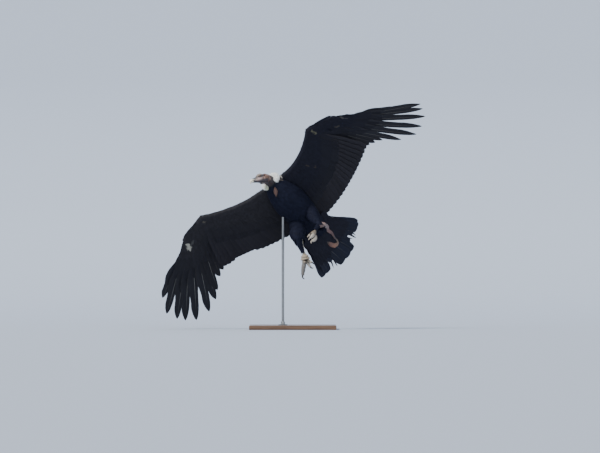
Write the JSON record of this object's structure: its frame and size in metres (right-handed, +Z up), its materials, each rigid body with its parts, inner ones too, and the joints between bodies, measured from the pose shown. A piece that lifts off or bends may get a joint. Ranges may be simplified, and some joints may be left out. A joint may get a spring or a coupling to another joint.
{
  "type": "andean condor",
  "caption": "Life-size still model of an adult male Andean condor banking in flight with its legs hanging, held over a flat base by one short rod.",
  "frame": {"origin": "centre of the stand's underside, on the floor", "axes": "+Z up; the picture looks along +Y, so the bird flies to -X and its belly faces -Y; its left wing points to +X and +Z"},
  "size_m": [1.8635, 0.7218, 1.6089],
  "materials": {
    "plumage": "matte barbed feathers",
    "down": "soft white down",
    "skin": "bare wrinkled skin",
    "comb": "bare wrinkled skin",
    "horn": "satin horn",
    "eye": "wet gloss",
    "leg": "dry scaled skin",
    "claw": "satin horn",
    "base": "satin dark stain",
    "steel": "satin black"
  },
  "bodies": {
    "root": {"bill_lower": "horn", "bill_upper": "horn", "claw_left_hind": "claw", "claw_left_inner": "claw", "claw_left_middle": "claw", "claw_left_outer": "claw", "claw_right_hind": "claw", "claw_right_inner": "claw", "claw_right_middle": "claw", "claw_right_outer": "claw", "comb": "comb", "eye_left": "eye", "eye_right": "eye", "foot_left": "leg", "foot_right": "leg", "head": "skin", "neck": "skin", "ruff": "down", "stand_base": "base", "stand_rod": "steel", "tail": "plumage", "tarsus_left": "leg", "tarsus_right": "leg", "thigh_left": "plumage", "thigh_right": "plumage", "torso": "plumage", "wattle": "comb", "wing_left_arm": "plumage", "wing_left_forearm": "plumage", "wing_left_hand": "plumage", "wing_right_arm": "plumage", "wing_right_forearm": "plumage", "wing_right_hand": "plumage"}
  },
  "joints": []
}
